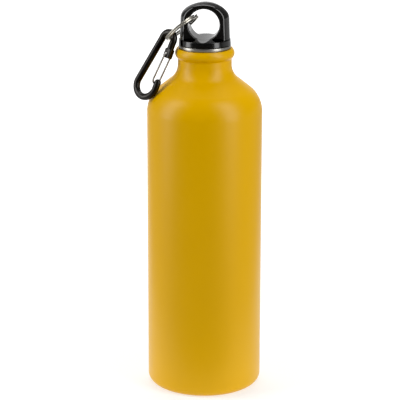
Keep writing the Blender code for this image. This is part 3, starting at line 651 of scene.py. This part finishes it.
def loop_grid(around=160, round_steps=17, flat_steps=10, hole_steps=6):
    """The loop as a closed grid: round the hole one way, round its soft-edged section the other."""
    bm = bmesh.new()
    rings = []
    flat = LOOP_HALF - HOLE_EDGE
    land = LOOP_HALF - LOOP_EDGE
    turns = [math.pi / 2 * k / round_steps for k in range(round_steps + 1)]
    for i in range(around):
        angle = math.tau * i / around
        front = []
        for turn in turns:
            front.append((flat + HOLE_EDGE * math.sin(turn), HOLE_R + HOLE_EDGE * (1.0 - math.cos(turn))))
        for turn in turns:
            depth = LOOP_HALF - LOOP_EDGE * (1.0 - math.cos(turn))
            lost = LAND_SLOPE * land + LOOP_EDGE * (1.0 - math.sin(turn))
            front.append((depth, softened(angle, depth, lost)))
        section = list(front)
        for k in range(1, flat_steps):
            depth = land * (1.0 - 2.0 * k / flat_steps)
            section.append((depth, softened(angle, depth, LAND_SLOPE * abs(depth))))
        section += [(-depth, reach) for depth, reach in reversed(front)]
        section += [(flat * (2.0 * k / hole_steps - 1.0), HOLE_R) for k in range(1, hole_steps)]
        across, rise = math.cos(angle), math.sin(angle)
        rings.append([bm.verts.new((r * across, depth, HOLE_Z + r * rise)) for depth, r in section])
    count = len(rings[0])
    for i in range(around):
        low, high = rings[i], rings[(i + 1) % around]
        for j in range(count):
            k = (j + 1) % count
            bm.faces.new((low[j], low[k], high[k], high[j]))
    bmesh.ops.recalc_face_normals(bm, faces=bm.faces)
    return bm


loop_mesh = loop_grid()
print("loop grid:", len(loop_mesh.faces), "faces")

# %% [markdown]
# ## Joining the cap
#
# The loop's hole runs on down through the rim's top as a shallow trough. Two exact Booleans cut the trough
# and join rim and loop, as one mould would. The thread's ridge is added last, sunk a little into the plug.


# %% Boolean helpers
def plain_object(name, bm, matrix):
    """A mesh object that only takes part in a Boolean."""
    mesh = bpy.data.meshes.new(name)
    bm.to_mesh(mesh)
    bm.free()
    mesh.transform(matrix)
    obj = bpy.data.objects.new(name, mesh)
    bpy.context.scene.collection.objects.link(obj)
    return obj


def combine(target, others):
    """Apply exact Booleans, (object, operation) in turn, and return the result as a mesh."""
    for other, operation in others:
        modifier = target.modifiers.new(operation.title(), "BOOLEAN")
        modifier.operation = operation
        modifier.solver = "EXACT"
        modifier.object = other
    graph = bpy.context.evaluated_depsgraph_get()
    bm = bmesh.new()
    bm.from_object(target, graph)
    for obj in [target] + [other for other, _ in others]:
        bpy.data.objects.remove(obj, do_unlink=True)
    return bm


# %% Cut the trough, join the loop, add the thread
TROUGH_R = HOLE_R + 0.05 * MM
TROUGH_LENGTH = 50.0 * MM
turned_loop = Matrix.Rotation(LOOP_TURN, 4, "Z")
rim = plain_object("rim_blank", rim_mesh, Matrix.Identity(4))
loop = plain_object("loop_blank", loop_mesh, turned_loop)
trough_mesh = bmesh.new()
bmesh.ops.create_cone(
    trough_mesh, cap_ends=True, segments=160, radius1=TROUGH_R, radius2=TROUGH_R, depth=TROUGH_LENGTH
)
lying = turned_loop @ Matrix.Translation((0.0, 0.0, HOLE_Z)) @ Matrix.Rotation(math.pi / 2, 4, "X")
trough = plain_object("trough_blank", trough_mesh, lying)
cap_mesh = combine(rim, [(trough, "DIFFERENCE"), (loop, "UNION")])
thread_low, thread_high = PLUG_END + 1.4 * MM, GROOVE_TOP - 3.4 * MM
thread_ridge(cap_mesh, PLUG_R, PLUG_CREST, thread_low, thread_high, COLLAR_LOW + PITCH)
add_piece("cap_moulded", cap_mesh, [plastic], "cap", "screw_cap", "cap", sharp=5.5 * DEGREE)

# %% [markdown]
# ## Wire and rod
#
# The ring, the clip and its gate are all made of wire or rod, bent to a path. A curve with a bevel could
# draw them, but here one function carries a closed section along the path's own points, so the ends stay
# closed and each bend lies exactly where the joints want it.


# %% Sweep helpers
def sweep(centres, frames, section):
    """Carry a closed section along a path. Each frame is (side, up, scale)."""
    bm = bmesh.new()
    rings = []
    for centre, (side, up, scale) in zip(centres, frames):
        rings.append([bm.verts.new(centre + (side * x + up * y) * scale) for x, y in section])
    for low, high in zip(rings, rings[1:]):
        for i in range(len(section)):
            j = (i + 1) % len(section)
            bm.faces.new((low[i], low[j], high[j], high[i]))
    bm.faces.new(rings[0])
    bm.faces.new(rings[-1])
    bmesh.ops.recalc_face_normals(bm, faces=bm.faces)
    return bm


def path_frames(centres, first_side):
    """Section axes that turn as little as possible along a path."""
    frames = []
    side = first_side
    for i in range(len(centres)):
        along = (centres[min(i + 1, len(centres) - 1)] - centres[max(i - 1, 0)]).normalized()
        side = (side - along * side.dot(along)).normalized()
        frames.append((side, along.cross(side), 1.0))
    return frames


def round_section(radius, sides):
    """A circle as section points."""
    turns = [math.tau * i / sides for i in range(sides)]
    return [(radius * math.cos(turn), radius * math.sin(turn)) for turn in turns]


print("a round section of 12 sides has", len(round_section(1.0, 12)), "points")

# %% [markdown]
# ## Where the split ring hangs
#
# The ring hangs through the loop, leaning out to the left, with the clip on its lowest wire. The clip's
# joint lies on that wire, so the joint's place, the ring's slope and its skew give the ring's middle. The
# clip's own bend hangs just inside the wire.

# %% Place the ring and the clip's bend
RING_WIRE_LOW = Vector(joints["carabiner_swing"]["pos_m"])
RING_SLOPE = 50.0 * DEGREE
RING_SKEW = -12.0 * DEGREE
RING_BORE = 10.8 * MM
RING_DEPTH = 1.6 * MM
ROD_R = 2.2 * MM
SEAT_GAP = 1.1 * MM
SEAT_OFFSET = 1.6 * MM
loop_turn = Matrix.Rotation(LOOP_TURN, 3, "Z")
ring_up = loop_turn @ Vector((math.sin(RING_SLOPE), 0.0, math.cos(RING_SLOPE)))
ring_level = Matrix.Rotation(RING_SKEW, 3, ring_up) @ loop_turn @ Vector((0.0, 1.0, 0.0))
ring_axis = ring_up.cross(ring_level)
RING_CENTRE = RING_WIRE_LOW + ring_up * (RING_BORE + RING_DEPTH / 2)
APEX = RING_CENTRE - ring_up * (RING_BORE - SEAT_GAP - ROD_R) + ring_axis * SEAT_OFFSET
print("ring centre in mm:", [round(v / MM, 3) for v in RING_CENTRE])

# %% [markdown]
# ## The split ring
#
# A split ring is flat wire wound twice and pressed shut, with a short jog where one turn crosses to the
# other. A torus would miss the split line between the turns, so the wire's section, with its rounded
# edges, is carried along the real spiral.

# %% Wind the ring
RING_WIDTH = 1.0 * MM
RING_GAP = 0.2 * MM
RING_EASE = 0.25 * MM
RING_CUT = 20.0 * DEGREE
RING_JOG = 22.0 * DEGREE
RING_STEPS = 224
UP = Vector((0.0, 0.0, 1.0))
ring_centres = []
ring_frames = []
for i in range(RING_STEPS + 1):
    angle = RING_CUT + (2.0 * math.tau - 2.0 * RING_CUT) * i / RING_STEPS
    blend = max(-1.0, min(1.0, 2.0 * (angle - math.tau) / RING_JOG))
    shift = (RING_WIDTH + RING_GAP) / 2 * math.sin(blend * math.pi / 2)
    outward = Vector((math.cos(angle), math.sin(angle), 0.0))
    ring_centres.append(outward * (RING_BORE + RING_DEPTH / 2) + UP * shift)
    ring_frames.append((outward, UP, 1.0))

half_d, half_w = RING_DEPTH / 2 - RING_EASE, RING_WIDTH / 2 - RING_EASE
ring_section = []
for side_x, side_y, first in ((1.0, 1.0, 0.0), (-1.0, 1.0, 0.5), (-1.0, -1.0, 1.0), (1.0, -1.0, 1.5)):
    for k in range(4):
        turn = math.pi * first + math.pi / 2 * k / 3
        x = side_x * half_d + RING_EASE * math.cos(turn)
        y = side_y * half_w + RING_EASE * math.sin(turn)
        ring_section.append((x, y))
ring_mesh = sweep(ring_centres, ring_frames, ring_section)
ring_matrix = Matrix((ring_up, ring_level, ring_axis)).transposed().to_4x4()
ring_matrix.translation = RING_CENTRE
add_piece("ring_wound", ring_mesh, [nickel], "ring", "split_ring", "ring", ring_matrix)

# %% [markdown]
# ## The carabiner's plane
#
# A light carabiner is one rod, bent cold to a pear: two arcs and two straights. It is drawn flat and then
# stood in place, and its place comes from the joints. The gate's axis is square to the frame's plane, and
# the line from the top bend to the gate's pivot gives the turn within that plane.

# %% Place the carabiner
TOP_ROUND = 4.9 * MM
BOTTOM_ROUND = 8.5 * MM
SPAN = 30.5 * MM
SLANT = math.asin((BOTTOM_ROUND - TOP_ROUND) / SPAN)
BLOCK_DROP = 3.6 * MM
BLOCK = Vector((5.3, 6.2, 4.1)) * MM


def bend(radius, drop, angle):
    """A point on one of the clip's bends, in its own plane."""
    return Vector((radius * math.cos(angle), drop - radius * math.sin(angle), 0.0))


line_top = bend(TOP_ROUND, 0.0, -SLANT)
line_low = bend(BOTTOM_ROUND, SPAN, -SLANT)
line = (line_low - line_top).normalized()
pivot = line_top + line * (BLOCK_DROP + BLOCK.y / 2)
GATE_PLACE = Vector(joints["gate_open"]["pos_m"])
to_back = Vector(joints["gate_open"]["axis"])
drawn = pivot - Vector((0.0, -TOP_ROUND, 0.0))
seen = GATE_PLACE - APEX
seen_across = to_back.cross(seen)
share_x, share_y = drawn.x / drawn.length, drawn.y / drawn.length
to_gate = (seen.normalized() * share_x - seen_across.normalized() * share_y).normalized()
down = to_back.cross(to_gate).normalized()
clip_matrix = Matrix((to_gate, down, to_back)).transposed().to_4x4()
clip_matrix.translation = APEX + down * TOP_ROUND
print("pivot off its joint by mm:", round((clip_matrix @ pivot - GATE_PLACE).length / MM, 4))

# %% [markdown]
# ## Bending the rod
#
# The rod starts in the pivot block, goes over the top bend, down the spine, round the bottom bend and up
# to the nose, which is rounded off so that it doesn't scratch. Its section is a hair thinner than the
# solid's, so that the fine curve stays within the solid's box.

# %% Bend the rod
ROD_LOOK_R = 2.15 * MM
NOSE_LENGTH = 7.2 * MM
IN_BLOCK = 0.7 * MM
DOME_STEPS = 8
DOME_END = 8.4  # a little over the steps, so that the last ring keeps some width
top_turns = [-SLANT + (math.pi + 2.0 * SLANT) * i / 40 for i in range(41)]
bottom_turns = [math.pi + SLANT + (math.pi - 2.0 * SLANT) * i / 44 for i in range(45)]
rod_path = [line_top + line * (BLOCK_DROP + IN_BLOCK)]
rod_path += [bend(TOP_ROUND, 0.0, turn) for turn in top_turns]
rod_path += [bend(BOTTOM_ROUND, SPAN, turn) for turn in bottom_turns]
rod_path.append(line_low - line * (NOSE_LENGTH - ROD_R))
rod_frames = path_frames(rod_path, UP)
nose_side, nose_up, _ = rod_frames[-1]
for i in range(1, DOME_STEPS + 1):
    turn = math.pi / 2 * i / DOME_END
    rod_path.append(line_low - line * (NOSE_LENGTH - ROD_R * (1.0 - math.sin(turn))))
    rod_frames.append((nose_side, nose_up, math.cos(turn)))
rod_mesh = sweep(rod_path, rod_frames, round_section(ROD_LOOK_R, 40))
rod = plain_object("rod_blank", rod_mesh, Matrix.Identity(4))
print("rod path:", len(rod_path), "points")

# %% [markdown]
# ## Block and nose
#
# The gate's pivot sits in a block forged on the rod's end, with one hole drilled through. The nose has a
# notch that the gate's wire drops behind. A union and two cuts give both, as the die, the drill and the
# mill would leave them.

# %% Forge the block, drill it and mill the notch
BLOCK_ROUND = 0.9 * MM
DRILL_R = 0.8 * MM
THROUGH = 8.0 * MM
NOTCH_BACK, NOTCH_LENGTH, NOTCH_DEPTH = 2.2 * MM, 2.2 * MM, 1.0 * MM
NOTCH_TOOL = 4.0 * MM
NOTCH_ROUND = 0.3 * MM
notch = line_low - line * (NOSE_LENGTH - NOTCH_BACK - NOTCH_LENGTH / 2)
slanted = Matrix.Rotation(-SLANT, 4, "Z")


def soft_block(size, edge, segments):
    """A box with rounded edges."""
    bm = bmesh.new()
    bmesh.ops.create_cube(bm, size=1.0)
    bmesh.ops.scale(bm, vec=size, verts=bm.verts)
    bmesh.ops.bevel(bm, geom=bm.edges[:], offset=edge, segments=segments, profile=0.5, affect="EDGES")
    return bm


block_mesh = soft_block(BLOCK, BLOCK_ROUND, 6)
block = plain_object("block_blank", block_mesh, Matrix.Translation(pivot) @ slanted)
hole_mesh = bmesh.new()
bmesh.ops.create_cone(hole_mesh, cap_ends=True, segments=32, radius1=DRILL_R, radius2=DRILL_R, depth=THROUGH)
hole = plain_object("hole_blank", hole_mesh, Matrix.Translation(pivot))
notch_mesh = soft_block(Vector((NOTCH_TOOL, NOTCH_LENGTH, THROUGH)), NOTCH_ROUND, 3)
inward = Matrix.Translation((-(NOTCH_TOOL / 2 + ROD_R - NOTCH_DEPTH), 0.0, 0.0))
notch_block = plain_object("notch_blank", notch_mesh, Matrix.Translation(notch) @ slanted @ inward)
clip_mesh = combine(rod, [(block, "UNION"), (hole, "DIFFERENCE"), (notch_block, "DIFFERENCE")])
CLIP_PLACES = ("carabiner", "carabiner_frame", "carabiner")
add_piece("carabiner_bent", clip_mesh, [anodised], *CLIP_PLACES, clip_matrix, 30.0 * DEGREE)

# %% [markdown]
# ## The wire gate
#
# The gate is a hairpin of spring wire. Its two bent-in ends sit in the block's hole, and its closed end
# drops behind the nose. Half the path is drawn, then the round end, and then the same half mirrored.

# %% Bend the gate
WIRE_R = 0.6 * MM
STUB = 1.6 * MM
CORNER_ROUND = 1.3 * MM
CORNER_STEPS = 12
END_STEPS = 32
leg_off = BLOCK.z / 2 + GAP + WIRE_R
inside = slanted.to_3x3() @ Vector((-1.0, 0.0, 0.0))
tip = notch + inside * (ROD_R - NOTCH_DEPTH + GAP + WIRE_R)
leg = (tip - pivot).normalized()
half_gate = [pivot + UP * (BLOCK.z / 2 - STUB)]
for i in range(CORNER_STEPS + 1):
    turn = math.pi / 2 * i / CORNER_STEPS
    out = leg_off - CORNER_ROUND * (1.0 - math.sin(turn))
    along = CORNER_ROUND * (1.0 - math.cos(turn))
    half_gate.append(pivot + UP * out + leg * along)
turn_centre = tip - leg * leg_off
gate_path = list(half_gate)
for i in range(END_STEPS + 1):
    turn = math.pi * i / END_STEPS
    gate_path.append(turn_centre + UP * leg_off * math.cos(turn) + leg * leg_off * math.sin(turn))
gate_path += [Vector((p.x, p.y, -p.z)) for p in reversed(half_gate)]
gate_mesh = sweep(gate_path, path_frames(gate_path, leg.cross(UP)), round_section(WIRE_R, 20))
add_piece("gate_hairpin", gate_mesh, [wire_steel], "gate", "wire_gate", "gate", clip_matrix)

# %% [markdown]
# ## The floor
#
# The photograph is a shop picture on pure white. The floor is taken as a sheet of white acrylic, sanded
# matt, whose glow is painted light: an emission in its own material, with no lamps under it. Its own colour
# is a light grey, so that the bottle leaves a soft shadow on it, and the painted glow makes the rest of the
# way to white.

# %% Lay the floor
FLOOR_SIZE = 12.0
FLOOR_DROP = 0.05 * MM
HAZE_SIZE = 30.0 * MM
floor_mesh = bmesh.new()
bmesh.ops.create_grid(floor_mesh, x_segments=8, y_segments=8, size=FLOOR_SIZE / 2)
floor_data = bpy.data.meshes.new("studio_floor")
floor_mesh.to_mesh(floor_data)
floor_mesh.free()
floor = bpy.data.objects.new("studio_floor", floor_data)
bpy.context.scene.collection.objects.link(floor)
floor.location.z = -FLOOR_DROP
# The floor's emission is painted glow in its own material; there are no lamps under it.
acrylic, acrylic_shader = new_material(
    "white_acrylic_painted_glow", {"Base Color": linear("#b6b6b6"), "Emission Color": (1.0, 1.0, 1.0, 1.0)}
)
floor_place, _ = uneven_gloss(acrylic, acrylic_shader, HAZE_SIZE, 0.78, 0.82)
floor_data.materials.append(acrylic)
floor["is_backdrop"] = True
print("floor:", FLOOR_SIZE, "m square")

# %% [markdown]
# ## The lit part of the floor
#
# The lit part starts at the bottle and widens away from the camera, only as far as the picture needs it.
# White floor beside the bottle would mirror in its sides and turn the yellow edges pale. So the painted glow
# is a strip whose half width and soft edge grow with the distance behind the bottle, worked out in nodes.


# %% Light the strip behind the bottle
def fade(start, end, low, high, shape="SMOOTHSTEP"):
    """Settings that turn a distance from start to end into a value from low to high."""
    return {"From Min": start, "From Max": end, "To Min": low, "To Max": high, "interpolation_type": shape}


FADE, SUM = "ShaderNodeMapRange", "ShaderNodeMath"
floor_parts = add_node(acrylic, "ShaderNodeSeparateXYZ", {}, [(floor_place, "Vector")])
sideways, backwards = floor_parts.outputs["X"], floor_parts.outputs["Y"]

LIT_FRONT, LIT_BACK = -0.05, 1.5
LIT_HALF_FRONT, LIT_HALF_BACK = 0.128, 0.32
SOFT_FRONT, SOFT_BACK = 0.05, 0.5
widening = fade(LIT_FRONT, LIT_BACK, LIT_HALF_FRONT, LIT_HALF_BACK, "LINEAR")
half_width = add_node(acrylic, FADE, widening, [(backwards, "Value")]).outputs["Result"]
softening = fade(LIT_FRONT, LIT_BACK, SOFT_FRONT, SOFT_BACK, "LINEAR")
softness = add_node(acrylic, FADE, softening, [(backwards, "Value")]).outputs["Result"]
off_centre = add_node(acrylic, SUM, {"operation": "ABSOLUTE"}, [(sideways, 0)]).outputs["Value"]
spare = add_node(acrylic, SUM, {"operation": "SUBTRACT"}, [(half_width, 0), (off_centre, 1)]).outputs["Value"]
edges = add_node(acrylic, SUM, {"operation": "DIVIDE"}, [(spare, 0), (softness, 1)]).outputs["Value"]
inside_edge = add_node(acrylic, FADE, fade(-1.0, 0.0, 0.0, 1.0), [(edges, "Value")]).outputs["Result"]

GLOW_BY_BOTTLE, GLOW_FULL, FULL_FROM = 0.59, 1.0, 0.6
front_edge = fade(LIT_FRONT - SOFT_FRONT, LIT_FRONT, 0.0, 1.0)
behind_front = add_node(acrylic, FADE, front_edge, [(backwards, "Value")]).outputs["Result"]
rising = fade(0.0, FULL_FROM, GLOW_BY_BOTTLE, GLOW_FULL)
strength = add_node(acrylic, FADE, rising, [(backwards, "Value")]).outputs["Result"]
in_strip = add_node(acrylic, SUM, {"operation": "MULTIPLY"}, [(inside_edge, 0), (behind_front, 1)])
strip_pair = [(in_strip.outputs["Value"], 0), (strength, 1)]
strip_glow = add_node(acrylic, SUM, {"operation": "MULTIPLY"}, strip_pair)
print("lit strip:", 2.0 * LIT_HALF_FRONT, "m wide at the bottle,", 2.0 * LIT_HALF_BACK, "m at the back")

# %% [markdown]
# ## The floor far out
#
# Seen from the side or from behind, the unlit floor would look dark grey. So the sheet glows again far
# out, all round, but weaker, and least on the camera's side, where it would mirror in the black cap.

# %% Light the floor far out
FAR_START, FAR_END, GLOW_FAR_OUT = 0.95, 1.8, 0.55
CAMERA_SIDE, CAMERA_SIDE_SHARE = (-0.9, 0.1), 0.2
outwards = add_node(acrylic, "ShaderNodeVectorMath", {"operation": "LENGTH"}, [(floor_place, "Vector")])
far_fade = fade(FAR_START, FAR_END, 0.0, GLOW_FAR_OUT)
far_out = add_node(acrylic, FADE, far_fade, [(outwards.outputs["Value"], "Value")])
camera_fade = fade(*CAMERA_SIDE, CAMERA_SIDE_SHARE, 1.0)
less_in_front = add_node(acrylic, FADE, camera_fade, [(backwards, "Value")])
far_pair = [(far_out.outputs["Result"], 0), (less_in_front.outputs["Result"], 1)]
far_glow = add_node(acrylic, SUM, {"operation": "MULTIPLY"}, far_pair)
glow_pair = [(strip_glow.outputs["Value"], 0), (far_glow.outputs["Value"], 1)]
glow = add_node(acrylic, SUM, {"operation": "MAXIMUM"}, glow_pair)
# The painted glow sets the floor's emission strength.
link(acrylic, glow.outputs["Value"], acrylic_shader.inputs["Emission Strength"])
print("far glow: from", FAR_START, "to", FAR_END, "m")

# %% [markdown]
# ## The lights
#
# One soft box stands at the left and one at the right. They show as upright bands on the cap's rim, and
# their places follow from there: a band seen at an angle round a cylinder comes from a light at twice that
# angle. A broad box high up behind lights the shoulder and rims the loop. A low, wide one far back gives
# the grey sheen in the loop's hole.

# %% Hang the lights
LIGHTS_AIM = Vector((0.0, 0.0, 0.14))
BOXES = (  # name, degrees round from the camera, distance, height, width, upright size in metres, watts
    ("left_soft_box", -78.0, 0.72, 0.46, 0.34, 0.98, 4.7),
    ("right_soft_box", 54.0, 0.68, 0.47, 0.32, 1.0, 4.6),
    ("top_soft_box", 180.0, 0.6, 1.2, 0.9, 0.7, 8.0),
    ("back_soft_box", 180.0, 1.6, 0.42, 1.6, 0.66, 2.0),
)
for name, degrees, distance, height, width, upright, watts in BOXES:
    box_data = bpy.data.lights.new(name, "AREA")
    box_data.shape = "RECTANGLE"
    box_data.size = width
    box_data.size_y = upright
    box_data.energy = watts
    box = bpy.data.objects.new(name, box_data)
    bpy.context.scene.collection.objects.link(box)
    azimuth = degrees * DEGREE
    box.location = (distance * math.sin(azimuth), -distance * math.cos(azimuth), height)
    box.rotation_mode = "QUATERNION"
    box.rotation_quaternion = (LIGHTS_AIM - box.location).to_track_quat("-Z", "Y")
    print(name, watts, "W")

# %% [markdown]
# ## The room and the picture's tones
#
# A weak white room fills the shadows. The colours are shown as they are, without a film curve, because a
# shop picture is. Only the blacks are pulled down a touch, as a printer would set the black point.

# %% Set the room and the tones
ROOM_STRENGTH = 0.17
BLACK_LEVEL = 0.008
room = bpy.data.worlds.new("pale_room")
bpy.context.scene.world = room
room.use_nodes = True
room_light = room.node_tree.nodes["Background"]
room_light.inputs["Color"].default_value = (1.0, 1.0, 1.0, 1.0)
room_light.inputs["Strength"].default_value = ROOM_STRENGTH
tones = bpy.context.scene.view_settings
tones.view_transform = "Standard"
tones.use_curve_mapping = True
tones.curve_mapping.black_level = (BLACK_LEVEL, BLACK_LEVEL, BLACK_LEVEL)
tones.curve_mapping.update()
print("room strength:", ROOM_STRENGTH)

# %% [markdown]
# ## The last check
#
# The finer pieces must not be bigger than the CAD model. How far each side of their box reaches past the CAD
# box is printed.

# %% Compare the boxes and finish
LOOK_LOW, LOOK_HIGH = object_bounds()
below = [round((cad - look_side) / MM, 3) for cad, look_side in zip(CAD_LOW, LOOK_LOW)]
above = [round((look_side - cad) / MM, 3) for cad, look_side in zip(CAD_HIGH, LOOK_HIGH)]
print("grown by mm:", below, above)
